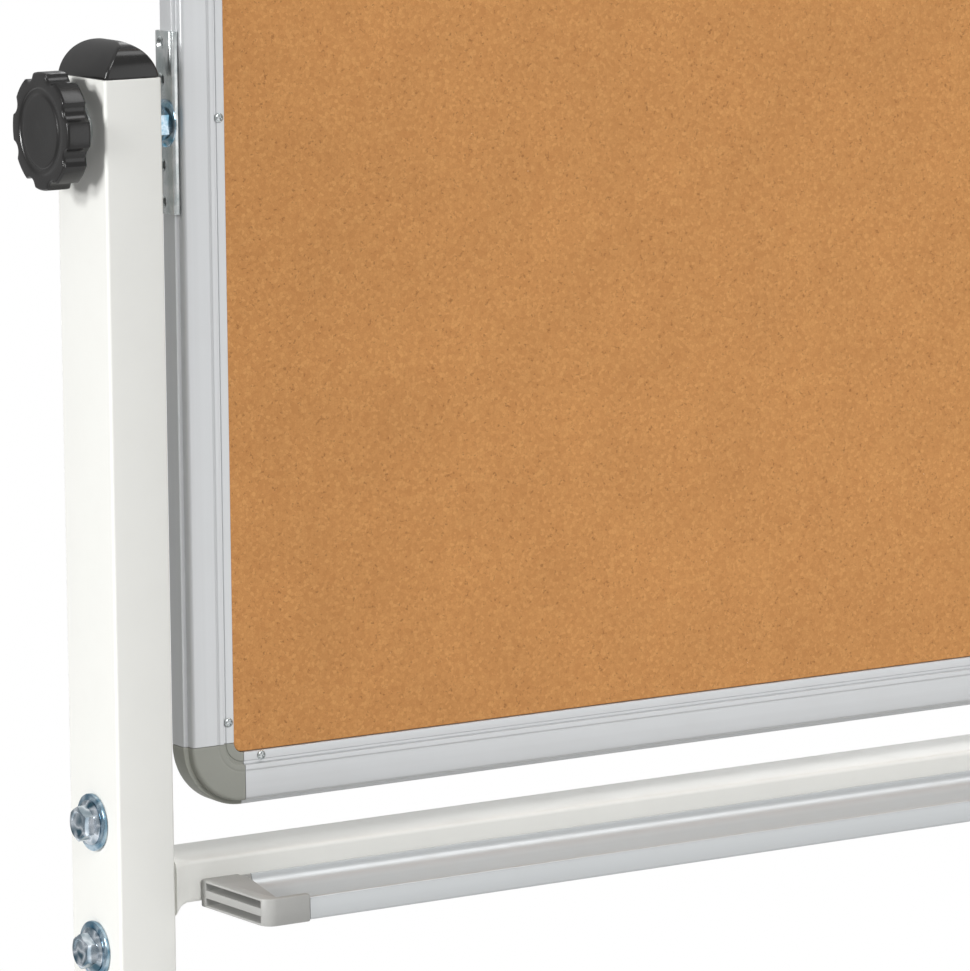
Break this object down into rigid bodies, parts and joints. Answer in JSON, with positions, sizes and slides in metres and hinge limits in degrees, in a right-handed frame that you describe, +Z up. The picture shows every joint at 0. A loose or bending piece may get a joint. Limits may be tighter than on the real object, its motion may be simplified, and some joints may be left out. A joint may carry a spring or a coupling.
{
  "type": "reversible cork whiteboard",
  "caption": "Framed cork and white writing board that turns over between the posts of a rolling stand, with a pen tray, clamping knobs and swivel casters.",
  "frame": {"origin": "on the floor, below the middle of the board, halfway between the posts", "axes": "+Z up; -Y is the side the cork faces, +Y the writing side; +X is on the right of someone who looks at the cork"},
  "size_m": [1.1472, 0.548, 1.392],
  "materials": {
    "powder_coat": "fine satin powder coat, warm white",
    "aluminium": "satin silver, anodised",
    "grey_plastic": "moulded, warm mid grey",
    "pale_grey_plastic": "moulded, pale grey",
    "black_plastic": "moulded, charcoal, fine grain",
    "zinc": "bright zinc plate with a blue tint",
    "cork": "fine-grained natural cork",
    "fibreboard": "raw brown fibreboard",
    "white_steel": "glossy white enamel",
    "grey_rubber": "dark grey, matt"
  },
  "bodies": {
    "stand": {"post_left": "powder_coat", "foot_left": "powder_coat", "post_cap_left": "black_plastic", "tray_cap_left": "pale_grey_plastic", "upper_bar_bolt_top_left": "zinc", "upper_bar_bolt_bottom_left": "zinc", "lower_bar_bolt_top_left": "zinc", "lower_bar_bolt_bottom_left": "zinc", "post_right": "powder_coat", "foot_right": "powder_coat", "post_cap_right": "black_plastic", "tray_cap_right": "pale_grey_plastic", "upper_bar_bolt_top_right": "zinc", "upper_bar_bolt_bottom_right": "zinc", "lower_bar_bolt_top_right": "zinc", "lower_bar_bolt_bottom_right": "zinc", "upper_crossbar": "powder_coat", "lower_crossbar": "powder_coat", "tray_profile": "aluminium", "foot_cap_front_left": "black_plastic", "caster_stem_front_left": "zinc", "foot_cap_back_left": "black_plastic", "caster_stem_back_left": "zinc", "foot_cap_front_right": "black_plastic", "caster_stem_front_right": "zinc", "foot_cap_back_right": "black_plastic", "caster_stem_back_right": "zinc"},
    "board": {"frame_left": "aluminium", "frame_right": "aluminium", "frame_top": "aluminium", "frame_bottom": "aluminium", "corner_top_left": "grey_plastic", "corner_top_right": "grey_plastic", "corner_bottom_left": "grey_plastic", "corner_bottom_right": "grey_plastic", "cork_sheet": "cork", "core_panel": "fibreboard", "writing_sheet": "white_steel", "bracket_left": "zinc", "pivot_stud_left": "zinc", "pivot_nut_left": "zinc", "pivot_spacer_left": "black_plastic", "bracket_right": "zinc", "pivot_stud_right": "zinc", "pivot_nut_right": "zinc", "pivot_spacer_right": "black_plastic"},
    "knob_washer_left": {"knob_washer_left": "zinc"},
    "knob_left": {"knob_left": "black_plastic"},
    "knob_washer_right": {"knob_washer_right": "zinc"},
    "knob_right": {"knob_right": "black_plastic"},
    "caster_swivel_front_left": {"caster_fork_front_left": "zinc"},
    "caster_wheel_front_left": {"caster_wheel_front_left": "grey_rubber"},
    "caster_swivel_back_left": {"caster_fork_back_left": "zinc"},
    "caster_wheel_back_left": {"caster_wheel_back_left": "grey_rubber"},
    "caster_swivel_front_right": {"caster_fork_front_right": "zinc"},
    "caster_wheel_front_right": {"caster_wheel_front_right": "grey_rubber"},
    "caster_swivel_back_right": {"caster_fork_back_right": "zinc"},
    "caster_wheel_back_right": {"caster_wheel_back_right": "grey_rubber"},
    "brake_pedal_front_left": {"brake_pedal_front_left": "black_plastic"},
    "brake_pedal_back_right": {"brake_pedal_back_right": "black_plastic"}
  },
  "joints": [
    {"name": "board_flip", "type": "hinge", "parent": "stand", "child": "board", "pos_m": [0, 0, 1.04], "axis": [1, 0, 0], "continuous": true},
    {"name": "knob_travel_left", "type": "slide", "parent": "stand", "child": "knob_washer_left", "axis": [-1, 0, 0], "range_m": [0, 0.003]},
    {"name": "knob_turn_left", "type": "hinge", "parent": "knob_washer_left", "child": "knob_left", "pos_m": [-0.56, 0, 1.04], "axis": [-1, 0, 0], "range_deg": [0, 720]},
    {"name": "knob_travel_right", "type": "slide", "parent": "stand", "child": "knob_washer_right", "axis": [1, 0, 0], "range_m": [0, 0.003]},
    {"name": "knob_turn_right", "type": "hinge", "parent": "knob_washer_right", "child": "knob_right", "pos_m": [0.56, 0, 1.04], "axis": [1, 0, 0], "range_deg": [0, 720]},
    {"name": "swivel_front_left", "type": "hinge", "parent": "stand", "child": "caster_swivel_front_left", "pos_m": [-0.5344, -0.215, 0.068], "axis": [0, 0, 1], "continuous": true},
    {"name": "roll_front_left", "type": "hinge", "parent": "caster_swivel_front_left", "child": "caster_wheel_front_left", "pos_m": [-0.5344, -0.235, 0.02479], "axis": [1, 0, 0], "continuous": true},
    {"name": "swivel_back_left", "type": "hinge", "parent": "stand", "child": "caster_swivel_back_left", "pos_m": [-0.5344, 0.215, 0.068], "axis": [0, 0, 1], "continuous": true},
    {"name": "roll_back_left", "type": "hinge", "parent": "caster_swivel_back_left", "child": "caster_wheel_back_left", "pos_m": [-0.5344, 0.235, 0.02479], "axis": [1, 0, 0], "continuous": true},
    {"name": "swivel_front_right", "type": "hinge", "parent": "stand", "child": "caster_swivel_front_right", "pos_m": [0.5344, -0.215, 0.068], "axis": [0, 0, 1], "continuous": true},
    {"name": "roll_front_right", "type": "hinge", "parent": "caster_swivel_front_right", "child": "caster_wheel_front_right", "pos_m": [0.5344, -0.235, 0.02479], "axis": [1, 0, 0], "continuous": true},
    {"name": "swivel_back_right", "type": "hinge", "parent": "stand", "child": "caster_swivel_back_right", "pos_m": [0.5344, 0.215, 0.068], "axis": [0, 0, 1], "continuous": true},
    {"name": "roll_back_right", "type": "hinge", "parent": "caster_swivel_back_right", "child": "caster_wheel_back_right", "pos_m": [0.5344, 0.235, 0.02479], "axis": [1, 0, 0], "continuous": true},
    {"name": "brake_front_left", "type": "hinge", "parent": "caster_swivel_front_left", "child": "brake_pedal_front_left", "pos_m": [-0.5344, -0.249, 0.05], "axis": [1, 0, 0], "range_deg": [0, 22]},
    {"name": "brake_back_right", "type": "hinge", "parent": "caster_swivel_back_right", "child": "brake_pedal_back_right", "pos_m": [0.5344, 0.249, 0.05], "axis": [-1, 0, 0], "range_deg": [0, 22]}
  ],
  "couplings": [
    {"joint": "knob_travel_left", "follows": "knob_turn_left", "m_per_rad": 0.00023873},
    {"joint": "knob_travel_right", "follows": "knob_turn_right", "m_per_rad": 0.00023873}
  ]
}
